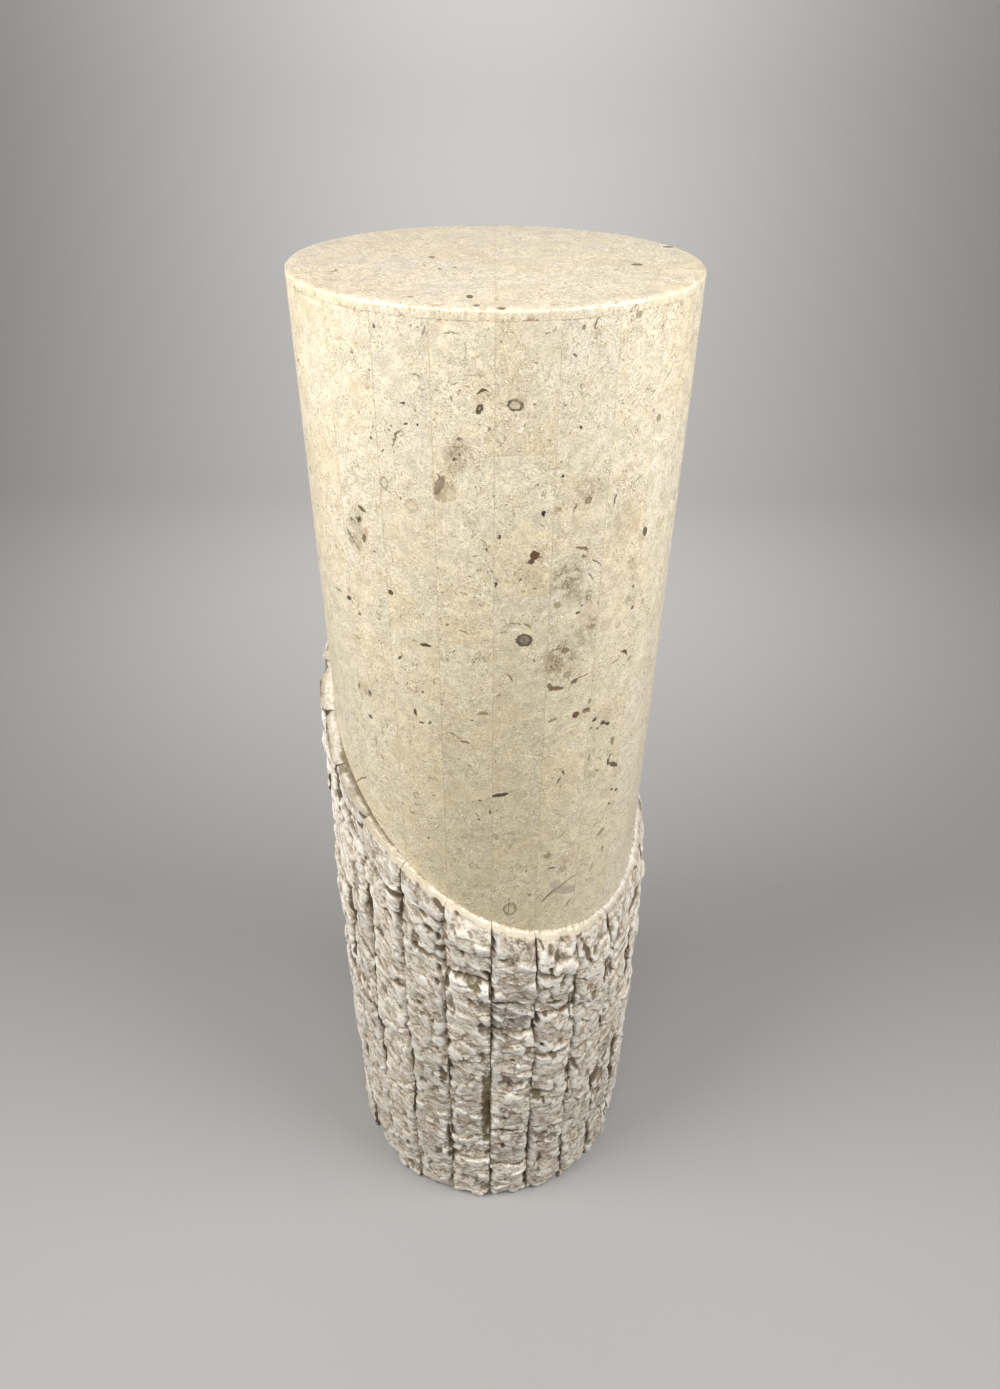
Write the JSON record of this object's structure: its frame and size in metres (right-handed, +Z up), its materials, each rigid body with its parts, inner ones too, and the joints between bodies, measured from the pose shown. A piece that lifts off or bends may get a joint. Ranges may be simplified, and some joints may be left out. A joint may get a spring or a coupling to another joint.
{
  "type": "stone pedestal column",
  "caption": "Plain round pedestal column clad in cream fossil limestone: polished strips above an oblique cut, rough split-face staves below it, and a flat two-slab top.",
  "frame": {"origin": "centre of the underside, on the floor", "axes": "+Z up along the column's axis, -Y the front, +X to the right seen from the front"},
  "size_m": [0.2977, 0.2982, 0.9],
  "materials": {
    "polished_stone": "honed and polished cream fossil limestone",
    "split_stone": "rough split face, whitish with brown dirt in the pits",
    "backing": "brown filler and backing, seen only in open joints"
  },
  "bodies": {
    "root": {"core_drum": "backing", "top_slab_left": "polished_stone", "top_slab_right": "polished_stone", "polished_strip_01_top": "polished_stone", "polished_strip_01_upper": "polished_stone", "polished_strip_01_middle": "polished_stone", "polished_strip_01_lower": "polished_stone", "polished_strip_02_upper": "polished_stone", "polished_strip_02_lower": "polished_stone", "polished_strip_03": "polished_stone", "polished_strip_04": "polished_stone", "polished_strip_05": "polished_stone", "polished_strip_06": "polished_stone", "polished_strip_07_upper": "polished_stone", "polished_strip_07_lower": "polished_stone", "polished_strip_08": "polished_stone", "polished_strip_09": "polished_stone", "polished_strip_10": "polished_stone", "polished_strip_11_upper": "polished_stone", "polished_strip_11_lower": "polished_stone", "polished_strip_12": "polished_stone", "polished_strip_13": "polished_stone", "polished_strip_14": "polished_stone", "polished_strip_15_upper": "polished_stone", "polished_strip_15_lower": "polished_stone", "polished_strip_16": "polished_stone", "polished_strip_17": "polished_stone", "polished_strip_18": "polished_stone", "polished_strip_19": "polished_stone", "polished_strip_20_upper": "polished_stone", "polished_strip_20_lower": "polished_stone", "polished_strip_21_upper": "polished_stone", "polished_strip_21_lower": "polished_stone", "polished_strip_22_upper": "polished_stone", "polished_strip_22_lower": "polished_stone", "polished_strip_23_upper": "polished_stone", "polished_strip_23_lower": "polished_stone", "rough_stave_01": "split_stone", "rough_stave_02": "split_stone", "rough_stave_03": "split_stone", "rough_stave_04": "split_stone", "rough_stave_05": "split_stone", "rough_stave_06": "split_stone", "rough_stave_07": "split_stone", "rough_stave_08": "split_stone", "rough_stave_09": "split_stone", "rough_stave_10": "split_stone", "rough_stave_11": "split_stone", "rough_stave_12": "split_stone", "rough_stave_13": "split_stone", "rough_stave_14": "split_stone", "rough_stave_15": "split_stone", "rough_stave_16": "split_stone", "rough_stave_17": "split_stone", "rough_stave_18": "split_stone", "rough_stave_19": "split_stone", "rough_stave_20": "split_stone", "rough_stave_21": "split_stone", "rough_stave_22": "split_stone", "rough_stave_23": "split_stone"}
  },
  "joints": []
}
